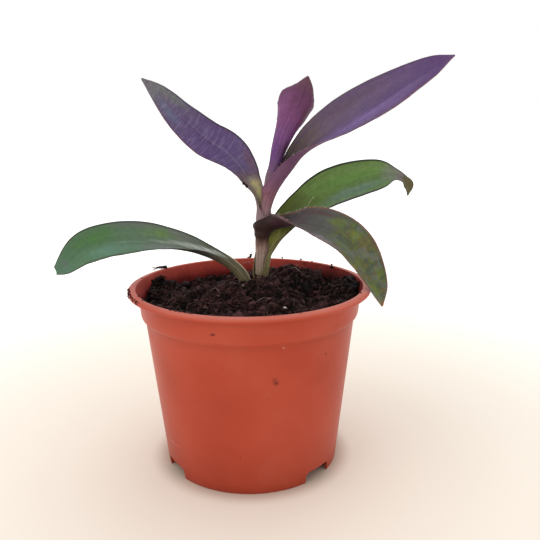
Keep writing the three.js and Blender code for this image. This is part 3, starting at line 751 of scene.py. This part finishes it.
# Leaves, from sheath to tip. "heading" is where the leaf points, from +X, "fold" the crease of an open
# blade, "clear" the distance that the sheath keeps from the shoot's axis, as (z, distance).
# "stations" are x, y, z, half width, roll and curl along the midrib. "along" is the run of colour.
# "patches" are place along and across, reach along and across, colour, strength. These two are in
# percent, across from -100 to 100.
# "edges" are lines on a margin: which one (-1 or 1), width, colour, strength. "blotches" are spots some
# millimetres across: scale, shift, where they begin, colour, strength. "down" is colour, strength.
# "hairs" are along from, to, across from, to, side, count, length. The side is 1 for the upper face,
# -1 for the underside and 0 for hairs that stand out from the margin.
LEAVES = {
    "leaf_upper_left": {
        "slot": "purple_leaf", "heading": 163, "fold": 5,
        "clear": [(102.5, 0), (105.8, 3.2), (113, 3.6), (118, 4.3), (125, 4.6)],
        "stations": [(3.8, 11.5, 99, 6.9, -24, 172), (4, 11.5, 102, 7, -24, 172),
            (3.7, 11.65, 106, 7.5, -18, 152), (4.3, 12.2, 111.7, 4.6, -26, 80),
            (3.1, 12.9, 117.4, 4.4, -36, 68), (-0.4, 13.5, 122.3, 6.4, -40, 72),
            (-4.1, 14.6, 128.1, 8.4, -44, 62), (-9.8, 16, 134.2, 9.6, -52, 46),
            (-18.7, 18.5, 140.6, 8.8, -70, 38), (-29.1, 21.5, 149.7, 7.4, -84, 34),
            (-38.6, 24, 159.4, 4.7, -84, 30), (-47.5, 26, 167, 0.35, -70, 20)],
        "upper": {
            "along": [(0, "#8F7578"), (20, "#8F7578"), (27, "#AD9088"), (36, "#A89C74"), (47, "#6F5A5E"),
                (56, "#62507A"), (70, "#5A4272"), (85, "#5E4E6C"), (95, "#70706E"), (100, "#70726C")],
            "patches": [(38, 35, 12, 70, "#E2D78A", 95), (43, -20, 9, 35, "#93857A", 70),
                (55, 75, 8, 50, "#6B4A58", 80), (72, -20, 12, 45, "#523868", 70),
                (88, 60, 11, 50, "#6B7563", 90), (85, -40, 8, 35, "#66708A", 70),
                (62, 5, 30, 8, "#7C6E86", 55), (98, 0, 5, 100, "#6F6660", 70)],
            "edges": [(1, 0.045, "#332A33", 0.85), (-1, 0.035, "#6A4048", 0.7)],
            "down": [("#8C84A0", 0.3)], "vein": "#3E3050",
        },
        "under": {
            "along": [(0, "#9C8284"), (20, "#9C8284"), (35, "#8C6C70"), (60, "#6A4660"), (100, "#5A3B56")],
            "vein": "#5A4048", "streaks": 0.4,
        },
        "margin": "#5A4048",
        "hairs": [(0.2, 0.98, 1, 1, 0, 110, 0.7), (0.2, 0.98, -1, -1, 0, 110, 0.7)],
    },
    "leaf_young": {
        "slot": "young_leaf", "heading": -90, "fold": 0,
        "clear": [(118, 0)],
        "stations": [(8.6, 7.8, 118.5, 5.6, 0, 155), (9.35, 7.7, 124, 5.7, -4, 152),
            (10.8, 7.6, 129, 5.5, -8, 142), (12.95, 7.6, 136.5, 6.7, -6, 122),
            (16.1, 7.5, 145, 7.85, -4, 100), (19.5, 7.5, 151.4, 9.6, 6, 80),
            (21.7, 7.7, 156.8, 9.6, 6, 66), (24, 8, 161.4, 5.1, 2, 50), (25.6, 8.4, 166.3, 0.35, 0, 30)],
        "upper": {
            "along": [(0, "#5B3050"), (50, "#6B3A58"), (100, "#70405F")],
            "vein": "#4A2440",
        },
        "under": {
            "along": [(0, "#7A5560"), (7, "#958A85"), (13, "#8A7478"), (20, "#7A5A78"), (30, "#6C4680"),
                (45, "#804E86"), (60, "#824878"), (80, "#683858"), (95, "#66424C"), (100, "#66424C")],
            "patches": [(37, 20, 9, 22, "#6E4288", 85), (37, -10, 9, 14, "#553058", 70),
                # The dark patch at -45 across is a painted shadow beside the upper right leaf's sheath.
                (37, -45, 10, 28, "#3E2030", 90), (65, 50, 18, 35, "#8E5286", 70),
                (65, -60, 18, 35, "#5B3040", 80)],
            "edges": [(1, 0.035, "#4A2848", 0.5), (-1, 0.035, "#3E2030", 0.5)],
            "vein": "#44213E", "streaks": 0.4,
        },
        "margin": "#7A5068",
        "hairs": [(0.4, 0.98, 1, 1, 0, 70, 0.6), (0.4, 0.98, -1, -1, 0, 70, 0.6)],
    },
    "leaf_upper_right": {
        "slot": "purple_leaf", "heading": -7, "fold": 10,
        "clear": [(113.5, 0), (118, 3.3), (124, 3.5)],
        "stations": [(8.7, 9.75, 106.3, 6.4, 0, 170), (9.3, 9.7, 109.5, 6.6, 0, 170),
            (10.2, 9.7, 113, 7.2, 0, 166), (12.3, 9.6, 118, 7.9, 0, 142), (15.5, 9.3, 123, 8, 2, 118),
            (19.5, 9, 128.4, 8, 10, 96), (23.9, 8.7, 134.4, 8.1, 28, 74), (30.4, 8, 140.5, 9.3, 44, 54),
            (40.9, 7, 147.2, 10.8, 52, 42), (52.8, 5.5, 154.6, 10.2, 58, 36),
            (65.1, 3.5, 162.6, 7.5, 66, 32), (76.6, 1.5, 169.4, 4.5, 66, 28),
            (84.3, 0, 173.4, 0.35, 50, 20)],
        "upper": {
            "along": [(0, "#7B5068"), (42, "#655646"), (52, "#68584E"), (62, "#6C5A66"), (72, "#6A5670"),
                (84, "#664F74"), (93, "#5D4070"), (100, "#6A4A72")],
            "patches": [(53, -50, 10, 50, "#655646", 90), (47, -85, 5, 30, "#7A7040", 70),
                (70, -60, 17, 40, "#604C56", 70), (70, 45, 24, 55, "#80689C", 90),
                (80, 10, 14, 16, "#52406A", 60), (86, 95, 12, 20, "#6A3E62", 70)],
            "edges": [(1, 0.035, "#6E4A48", 0.7), (-1, 0.035, "#4A3A44", 0.7)],
            "vein": "#44305A",
        },
        "under": {
            "along": [(0, "#A48A82"), (10, "#9E7C7A"), (20, "#926066"), (32, "#785068"), (45, "#6E4A64"),
                (53, "#8A6580"), (100, "#6A3F66")],
            "patches": [(17, 90, 8, 25, "#7A7048", 70)],
            "vein": "#55304E", "streaks": 0.45,
        },
        "margin": "#7A5468",
        "hairs": [(0.35, 0.99, 1, 1, 0, 120, 0.7), (0.35, 0.99, -1, -1, 0, 120, 0.7)],
    },
    "leaf_back_right": {
        "slot": "green_leaf", "heading": 17, "fold": 8,
        "clear": [(77, 0), (80.3, 3.2), (84, 3.6), (88, 4), (91, 4.2), (97, 4.5), (102, 5.7), (108, 6)],
        "stations": [(6.1, 12.1, 73.8, 8.6, 30, 173), (6.5, 12.1, 77.5, 8.4, 29, 168),
            (6.9, 12, 81.2, 7.2, 27, 130), (7.3, 12, 84.6, 6.2, 23, 102), (8, 12.1, 88.4, 5.9, 21, 96),
            (10.7, 13.4, 92.9, 6.2, 25, 90), (13.8, 15.3, 98.9, 7.6, 46, 88),
            (18.8, 17.5, 104.6, 8.3, 50, 72), (26.5, 19.5, 110.6, 9.3, 52, 56),
            (36, 21.5, 116.4, 10.3, 56, 44), (48.1, 24.5, 120.5, 9.7, 60, 38),
            (60.2, 27, 123.2, 7.3, 68, 34), (67.2, 28.4, 123.3, 3.1, 74, 30),
            (71.6, 28.9, 121.1, 2.0, 80, 28), (73.7, 29, 118, 2.8, 84, 26),
            (73.8, 29, 113.4, 0.35, 60, 20)],
        "upper": {
            # The bright yellow stops from 26 to 37 percent and the first, pale patch are partly the base's
            # own pale yellow and partly painted light shining through the blade.
            "along": [(0, "#85705F"), (20, "#85705F"), (26, "#B8B068"), (31, "#DCD880"), (37, "#C8C660"),
                (42, "#8C8C42"), (48.5, "#6E7A38"), (58, "#749149"), (73, "#6C8A4C"), (78.5, "#7A846C"),
                (82.5, "#80727A"), (87, "#6A5A40"), (100, "#5E4C2A")],
            "patches": [(35, 35, 8, 80, "#F4F09A", 95), (32.2, -30, 5, 30, "#B8A880", 70),
                (50.4, -60, 8, 45, "#6A7434", 70), (65.3, -25, 13, 40, "#679342", 80),
                # The grey patches at 50 and 92 across, on the near half, are partly the blade's colour and
                # partly a painted sheen.
                (65.3, 50, 15, 45, "#728B7E", 90), (61.6, 92, 20, 16, "#7A7080", 80),
                (77.5, 10, 4, 90, "#808878", 70)],
            "edges": [(1, 0.05, "#1E2418", 0.95), (-1, 0.055, "#1E2418", 0.95)],
            "vein": "#3A5228",
        },
        "under": {
            "along": [(0, "#8C7A60"), (12, "#8A7A52"), (28, "#A49E60"), (42, "#9A9858"), (60, "#5F5A50"),
                (100, "#5A4348")],
            "vein": "#4A4234", "streaks": 0.6,
        },
        "margin": "#1E1C16",
        "hairs": [(0.2, 0.98, 1, 1, 0, 70, 0.6), (0.2, 0.98, -1, -1, 0, 90, 0.7)],
    },
    "leaf_front_right": {
        "slot": "mottled_leaf", "heading": -28, "fold": 6,
        "clear": [(95, 0), (98.6, 3.3), (101, 3.5), (103, 4.5), (106, 5.0), (109, 5)],
        "stations": [(6.8, 9.05, 80.8, 6.8, 4, 172), (7.3, 8.95, 87, 7.5, 4, 172),
            (7.85, 8.9, 91.5, 8.3, 4, 172), (7.9, 8.9, 96, 8.2, 3, 168), (9.4, 8.2, 100.2, 9.1, -2, 142),
            (13.6, 7, 102.2, 9.1, -8, 102), (19, 5.4, 103.6, 7.9, 10, 70), (25.2, 2.8, 104.4, 8.6, 30, 48),
            (33.2, 0, 102.6, 9.7, 36, 37), (41.2, -4, 98.6, 9.8, 34, 32), (47.3, -8, 91.8, 8.9, 32, 30),
            (53.4, -11, 80.3, 5.6, 29, 28), (56, -13, 72, 0.4, 30, 20)],
        "upper": {
            "along": [(0, "#6B5A48"), (40, "#4E3A44"), (47, "#4E4046"), (57, "#524C4B"), (66, "#585C58"),
                (74, "#565E3A"), (84, "#58602E"), (92, "#5A6C34"), (95.5, "#74622E"), (100, "#A5603A")],
            "patches": [(52, -45, 8, 50, "#5A4A50", 70), (67, 85, 10, 35, "#8F8088", 80),
                (63, -72, 10, 16, "#5A3A3A", 80), (55, -98, 14, 8, "#A38C80", 80),
                (70, -50, 7, 35, "#6A7A22", 80), (79, -55, 7, 35, "#627426", 80),
                (77, 35, 7, 45, "#5A7050", 70), (85, 0, 5, 60, "#6A6A30", 60),
                (88, -10, 3, 35, "#5F7068", 70), (88, 93, 7, 18, "#8A4A3A", 80)],
            "blotches": [(190, 0, 0.7, "#6A7A22", 0.7), (210, 0.1, 0.68, "#3E4E42", 0.7),
                (170, 0.2, 0.72, "#6A5636", 0.6), (230, 0.3, 0.7, "#686C68", 0.6)],
            "edges": [(1, 0.035, "#7A5654", 0.75), (-1, 0.04, "#74483C", 0.75)],
            "vein": "#3A3430",
        },
        "under": {
            # The pale stops up to 19 percent are painted light: the sheath is painted lighter than its own
            # pale beige, against the shade of the hood above it. The dark stops from 29 to 44 percent are
            # the hood's own purple underside, painted darker still as its shade.
            "along": [(0, "#A8967A"), (8, "#C4A898"), (19, "#BC9C8C"), (24.5, "#8A6858"), (29, "#2E1A16"),
                (36, "#1C0E0E"), (44, "#2A141C"), (50, "#42202E"), (100, "#4A2E38")],
            "patches": [(43, 50, 5, 30, "#5A2448", 60), (50, 95, 12, 20, "#A08A8C", 80),
                (10, -30, 12, 12, "#CCB4A0", 80), (12, 35, 10, 10, "#CCB4A0", 80)],
            "vein": "#402A24", "streaks": 0.5,
        },
        "margin": "#7A4A40",
        "hairs": [(0.36, 0.56, -0.98, -0.7, 1, 50, 0.7), (0.3, 0.98, 1, 1, 0, 100, 0.8),
            (0.38, 0.95, -1, -1, 0, 260, 1.1), (0.02, 0.3, -0.9, 0.9, -1, 24, 0.5)],
    },
    "leaf_lower_left": {
        "slot": "green_leaf", "heading": 185, "fold": 14,
        "clear": [(71, 0)],
        "stations": [(-3.4, 6.2, 70.6, 5, -22, 118), (-3.5, 6.3, 75.2, 5.2, -23, 117),
            (-5.1, 6.3, 80, 5.4, -24, 116), (-9.2, 6, 84.7, 5.2, -22, 113),
            (-14.2, 5.5, 88.1, 5.2, -19, 106), (-20, 5, 91, 5.8, -20, 90), (-27, 4, 94, 6.7, -28, 63),
            (-35.8, 3, 96.6, 7.4, -39, 44), (-46.6, 2, 98.2, 8.4, -50, 34), (-60, 1, 97.9, 8.5, -64, 28),
            (-70.6, 0, 95.2, 7.7, -74, 26), (-79.4, 0, 88.2, 5, -68, 22), (-84.1, 0, 85.2, 2.4, -48, 20)],
        "upper": {
            "along": [(0, "#867A58"), (20, "#927F66"), (30, "#7C705C"), (37, "#6E6C5E"), (44, "#747268"),
                (56, "#6D7266"), (66, "#62745E"), (78, "#567450"), (92, "#56765C"), (100, "#56705A")],
            "patches": [(53, 75, 10, 45, "#74726C", 90), (66, 95, 12, 40, "#6C6668", 90),
                # The grey patches at -55 and -50 across, on the near half, are partly the blade's colour
                # and partly a painted sheen.
                (57, -55, 14, 60, "#7C7E80", 95), (61, 50, 7, 50, "#6A8440", 85),
                (75, -50, 12, 60, "#628674", 90), (81, 40, 10, 50, "#4C783C", 90),
                # The chain of near-white patches, from the margin at 24 percent along to the midrib at 69,
                # is a painted highlight along a ridge of the blade.
                (92, 0, 2.5, 90, "#6E6A70", 60), (34, 70, 8, 20, "#E4E0D8", 95),
                (40, 52, 9, 22, "#E0E0D8", 95), (46, 34, 9, 22, "#D0D2CA", 95),
                (52, 18, 9, 18, "#BCC0B8", 90), (60, 3, 7, 15, "#9AA098", 80),
                (69, -8, 8, 9, "#87958A", 60), (24, 95, 18, 14, "#E0CCB4", 95),
                # The dark patch near the base on the midrib is painted shade in the petiole's channel.
                (15, 10, 14, 35, "#2E2618", 85), (96.5, 45, 1, 10, "#7A4030", 80),
                (98.5, -40, 1, 12, "#7A4030", 80)],
            "edges": [(1, 0.045, "#2E3630", 0.85), (-1, 0.045, "#3A3A36", 0.85)],
            "vein": "#3A5A40",
        },
        "under": {
            "along": [(0, "#8A7C5C"), (17, "#867A5A"), (27, "#7A6E50"), (34, "#5E544A"), (42, "#4A4444"),
                (50, "#34202A"), (70, "#4E3246"), (100, "#523648")],
            "patches": [(20, -30, 12, 14, "#A09470", 80), (20, 0, 10, 10, "#55482E", 70)],
            "vein": "#3E3A28", "streaks": 0.6,
        },
        "margin": "#33302E", "sheath": "#DCC8AC",
        "hairs": [(0.35, 0.98, 1, 1, 0, 60, 0.5), (0.35, 0.98, -1, -1, 0, 60, 0.5)],
    },
}


def between(rows, share):
    """A smooth curve through rows of numbers, read at shares from 0 to 1 along it."""
    rows = np.array(rows, float)
    rows = np.vstack([2 * rows[0] - rows[1], rows, 2 * rows[-1] - rows[-2]])
    place = np.clip(share, 0, 1) * (len(rows) - 3)
    step = np.minimum(place.astype(int), len(rows) - 4)
    u = (place - step)[..., None]
    a, b, c, d = (rows[step + k] for k in range(4))
    square = (2 * a - 5 * b + 4 * c - d) * u**2
    return (2 * b + (c - a) * u + square + (3 * b - a - 3 * c + d) * u**3) / 2


def unit(vectors):
    return vectors / np.linalg.norm(vectors, axis=-1, keepdims=True)


def blade_point(leaf, t, v):
    """Points of the blade's middle surface in mm, at t along the midrib and v across it, -1 to 1."""
    rows = between(leaf["stations"], t)
    along = between(leaf["stations"], t + 1e-3) - between(leaf["stations"], t - 1e-3)
    along = unit(along[..., :3])
    heading = radians(leaf["heading"])
    side = np.array([sin(heading), -cos(heading), 0])
    side = unit(side - along * (along @ side)[..., None])
    face = np.cross(side, along)
    half = rows[..., 3:4]
    roll = np.radians(rows[..., 4:5])
    curl = np.radians(rows[..., 5:6])
    up = face * np.cos(roll) + side * np.sin(roll)
    out = side * np.cos(roll) - face * np.sin(roll)
    fold = radians(leaf["fold"]) * np.maximum(0, 1 - rows[..., 5:6] / FOLD_ENDS_AT_CURL)
    v = np.asarray(v, float)[..., None]
    angle = fold + curl * np.abs(v)
    across = np.sign(v) * half * (np.sin(angle) - np.sin(fold)) / curl
    rise = half * (np.cos(fold) - np.cos(angle)) / curl
    point = rows[..., :3] + out * across + up * rise
    # The sheath stands off the shoot's axis.
    z = point[..., 2]
    distance = np.interp(z, *zip(*leaf["clear"]))
    levels, *centre = np.array(SHOOT, float).T
    away = point[..., :2] - np.stack([np.interp(z, levels, values) for values in centre], axis=-1)
    length = np.linalg.norm(away, axis=-1)
    wanted = (length + distance + np.hypot(length - distance, EASE)) / 2
    push = np.where(distance > 0, wanted / length - 1, 0)
    point[..., :2] += away * push[..., None]
    return point


def run_along(leaf, t, v, step):
    """The blade's way from sheath to tip, from a step before to a step after."""
    return blade_point(leaf, np.clip(t + step, 0, 1), v) - blade_point(leaf, np.clip(t - step, 0, 1), v)


def blade_normal(leaf, t, v, step=2e-3):
    """Unit normals on the blade's upper side."""
    across = blade_point(leaf, t, np.clip(v + step, -1, 1)) - blade_point(leaf, t, np.clip(v - step, -1, 1))
    return unit(np.cross(across, run_along(leaf, t, v, step)))


def margin_waves(t, v, scale, layer, seed):
    """Uneven waves along the two margins, each its own."""
    return np.array([noise.noise(Vector((a * scale, copysign(layer, b), seed))) for a, b in zip(t, v)])


def make_leaf(leaf, seed, materials):
    """A flat grid bent to the leaf's form, its midrib creased and its margins waved, then thickened.
    The materials are those of its upper face, its underside and its margin."""
    obj = new_piece(
        bpy.ops.mesh.primitive_grid_add, x_subdivisions=STEPS_ALONG, y_subdivisions=STEPS_ACROSS, size=2
    )
    mesh = obj.data
    flat = np.zeros(len(mesh.vertices) * 3)
    mesh.vertices.foreach_get("co", flat)
    t, v = (flat[0::3] + 1) / 2, -flat[1::3]
    rows = between(leaf["stations"], t)
    # A rolled sheath and the tip itself are neither waved nor creased.
    opened = np.clip((115 - rows[:, 5]) / 50, 0, 1) * np.clip((1 - t) * 12, 0, 1)
    wave = margin_waves(t, v, 14, 2.3, seed) + 0.5 * margin_waves(t, v, 37, 5.1, seed + 4)
    crease = CREASE_DEPTH * np.exp(-((v * rows[:, 3] / CREASE_WIDTH) ** 2))
    lift = (WAVE_HEIGHT * wave * np.abs(v) ** 3 - crease) * opened
    point = blade_point(leaf, t, v) + blade_normal(leaf, t, v) * lift[:, None]
    mesh.vertices.foreach_set("co", (point * MM).ravel())
    corners = np.zeros(len(mesh.loops), int)
    mesh.loops.foreach_get("vertex_index", corners)
    shares = mesh.uv_layers[0]
    shares.name = "blade_share"
    shares.data.foreach_set("uv", np.stack([t, (v + 1) / 2], -1)[corners].ravel())
    group = obj.vertex_groups.new(name="thickness")
    for index, weight in enumerate(1 - MARGIN_THINNED_BY * np.abs(v) ** 4):
        group.add([index], float(weight), "REPLACE")
    for material in materials:
        mesh.materials.append(material)
    apply_modifier(
        obj, "SOLIDIFY", thickness=THICKNESS * MM, offset=0, vertex_group="thickness",
        material_offset=1, material_offset_rim=2,
    )
    bpy.ops.object.shade_smooth_by_angle(angle=radians(60))
    return obj


def leaf_finish(add, place, along, vein, patches=(), edges=(), blotches=(), streaks=0.22, down=()):
    """Fleshy leaf skin. Colour runs from sheath to tip, patches follow the blade's own flush, fine
    parallel veins run its length in colour and relief, and a thin line follows each margin."""
    share = add("UVMap", uv_map="blade_share")
    stray = add("TexNoise", {0: place, 2: 120, 3: 5, 4: 0.6}, "Color")
    stray = add("VectorMath", {0: stray, 1: (0.5, 0.5, 0.5)}, operation="SUBTRACT")
    # Shares of the blade with uneven bounds, and steadier ones for its narrow patches.
    moved, steady = (
        add("VectorMath", {0: stray, 1: reach, 2: share}, operation="MULTIPLY_ADD")
        for reach in ((0.14, 0.32, 0), (0.035, 0.0512, 0))
    )
    length = add("SeparateXYZ", {0: moved})
    colour = add("ValToRGB", {0: length}, stops=[(at / 100, tone) for at, tone in along])
    layers = []
    for *form, tint, strength in patches:
        t, v, reach_t, reach_v = (percent / 100 for percent in form)
        near = steady if reach_v < 0.25 else moved
        centre = (-t / reach_t, -(v + 1) / reach_v, 0)
        near = add("Mapping", {0: near, 1: centre, 3: (1 / reach_t, 2 / reach_v, 0)})
        near = add("VectorMath", {0: near}, "Value", operation="LENGTH")
        near = add("MapRange", {0: near, 1: 1, 2: 0.05, 3: 0, 4: strength / 100}, **SMOOTH)
        layers.append((near, 1, tint))
    for scale, shift, begins, tint, strength in blotches:
        spot = add("Mapping", {0: place, 1: (shift, 0, 0)})
        spot = add("TexNoise", {0: spot, 2: scale, 3: 3, 4: 0.55})
        spot = add("MapRange", {0: spot, 1: 0.5, 2: 0.58, 3: 0, 4: strength})
        layers.append((spot, add("MapRange", {0: length, 1: begins, 2: begins + 0.05}), tint))
    # Broad flushes, fine streaks between the veins, mottling about a millimetre across where the cells
    # hold more pigment, and silvery down in wisps across the blade, too fine to model hair by hair.
    # Each is noise: where, stretch, detail, roughness, its range, the amounts at its ends and a colour.
    grains = [
        (share, (2.2, 13, 1), 2, 0.5, 0.35, 0.6, 0.24, 0, vein),
        (share, (3, 52, 1), 3, 0.5, 0.4, 0.6, streaks, 0, vein),
        (place, (520, 520, 520), 5, 0.7, 0.38, 0.6, 0.3, 0, vein),
    ]
    grains += [(share, (140, 2.4, 1), 2, 0.5, 0.48, 0.7, 0, strength, tint) for tint, strength in down]
    drawn = []
    for where, stretch, detail, uneven, low, high, start, end, tint in grains:
        where = add("Mapping", {0: where, 3: stretch})
        drawn.append(add("TexNoise", {0: where, 2: 1, 3: detail, 4: uneven}))
        layers.append((add("MapRange", {0: drawn[-1], 1: low, 2: high, 3: start, 4: end}), 1, tint))
    streak = drawn[1]
    x, y = (add("SeparateXYZ", {0: share}, axis) for axis in "XY")
    blade = add("MapRange", {0: x, 1: SHEATH_ENDS, 2: BLADE_BEGINS})
    for margin, width, tint, strength in edges:
        end = (margin + 1) / 2
        line = add("MapRange", {0: y, 1: end - margin * width, 2: end - margin * width * 0.6, 4: strength})
        layers.append((line, blade, tint))
    # Relief of the even ribs, the streaks and the cells.
    ribs = add("TexWave", {"Vector": share, "Scale": 4.4, "Distortion": 0}, "Fac", bands_direction="Y")
    relief = add("Math", {0: ribs, 1: streak}, operation="ADD")
    cells = add("TexNoise", {0: place, 2: 2600, 3: 2})
    relief = add("Math", {0: cells, 1: 0.35, 2: relief}, operation="MULTIPLY_ADD")
    return colour, layers, {
        "Roughness": add("MapRange", {0: streak, 3: 0.46, 4: 0.6}),
        "Normal": add("Bump", {"Height": relief, "Strength": 0.3, "Distance": 0.08 * MM}),
        "Specular IOR Level": 0.22, "Subsurface Weight": 0.08, "Subsurface Scale": 0.6 * MM,
        "Sheen Weight": 0.04, "Sheen Roughness": 0.5,
    }


def margin_finish(add, place, sheath, tint):
    """Thin horny edge of the blade, darker or redder than the skin, with tiny breaks in its colour. On
    the sheath it is as pale as the sheath itself."""
    length = add("SeparateXYZ", {0: add("UVMap", uv_map="blade_share")})
    blade = add("MapRange", {0: length, 1: SHEATH_ENDS, 2: BLADE_BEGINS})
    broken = add("TexNoise", {0: place, 2: 500, 3: 3})
    edge = add("ValToRGB", {0: broken}, stops=[(0.35, tint, 0.55), (0.6, tint)])
    return sheath, [(blade, 1, edge)], {"Roughness": 0.5, "Specular IOR Level": 0.3}


def hair_paths(leaf):
    """Tapered bent hairs rooted in the skin, each as three points with their radii."""
    paths = []
    for t0, t1, v0, v1, side, count, length in leaf["hairs"]:
        t = np.array([dice.uniform(t0, t1) for _ in range(count)])
        v = np.array([dice.uniform(v0, v1) for _ in range(count)])
        point, along = blade_point(leaf, t, v), unit(run_along(leaf, t, v, 0.01))
        outward = blade_normal(leaf, t, v) * side if side else unit(point - blade_point(leaf, t, v * 0.96))
        root = point + outward * THICKNESS * 0.45 * abs(side)
        for k in range(count):
            size = length * dice.uniform(0.5, 1.4)
            stray = np.array([dice.uniform(-0.5, 0.5) for _ in range(3)])
            first = unit(outward[k] + 0.5 * along[k] + stray)
            then = unit(first + 0.7 * along[k] + 0.6 * stray)
            middle = root[k] + first * size * 0.5
            paths.append([(root[k], 0.035), (middle, 0.025), (middle + then * size * 0.5, 0.006)])
    return paths


hair = make_material("silvery_leaf_hair", strand_finish, "#A89890", "#DCD4CC", *LEAF_HAIR)
for number, (name, leaf) in enumerate(LEAVES.items()):
    # Unless it has its own colour there, the margin takes the underside's colour on the sheath.
    sheath = leaf.get("sheath", leaf["under"]["along"][1][1])
    materials = [
        make_material(name + "_upper_skin", leaf_finish, **leaf["upper"]),
        make_material(name + "_under_skin", leaf_finish, **leaf["under"]),
        make_material(name + "_margin", margin_finish, sheath, leaf["margin"]),
    ]
    dress(make_leaf(leaf, 11.0 + number, materials), name + "_blade", [], node=name)
    dress(strands(hair_paths(leaf)), name + "_hairs", [hair])

# One long hair lies across the middle of the back right blade, as (along, across).
blade = LEAVES["leaf_back_right"]
LONG_HAIR = [(0.53, 0.06), (0.535, 0.0), (0.542, -0.06), (0.552, -0.12), (0.56, -0.17)]
path = [(blade_point(blade, t, v) + blade_normal(blade, t, v) * 0.36, 0.13) for t, v in LONG_HAIR]
yellow = make_material("pale_yellow_hair", strand_finish, "#D8CC9C", "#F2EAC4", *LEAF_HAIR)
dress(strands([path]), "long_hair", [yellow])

# Crumbs of soil that cling to the lower margin of the upper left leaf, as (along, across, size).
blade = LEAVES["leaf_upper_left"]
CLINGING = [
    (0.43, -1, 1.2), (0.437, -1.0, 1.7), (0.446, -1, 1.3), (0.453, -1, 1.6), (0.462, -1, 0.8),
    (0.5, 0.97, 0.5),
]
clinging = [(tuple(blade_point(blade, t, v) * MM), tumble(size)) for t, v, size in CLINGING]
soil_piece(scatter(small, clinging), "clinging_crumbs", crumb_material)
for shape in (small, large):
    bpy.data.objects.remove(shape)
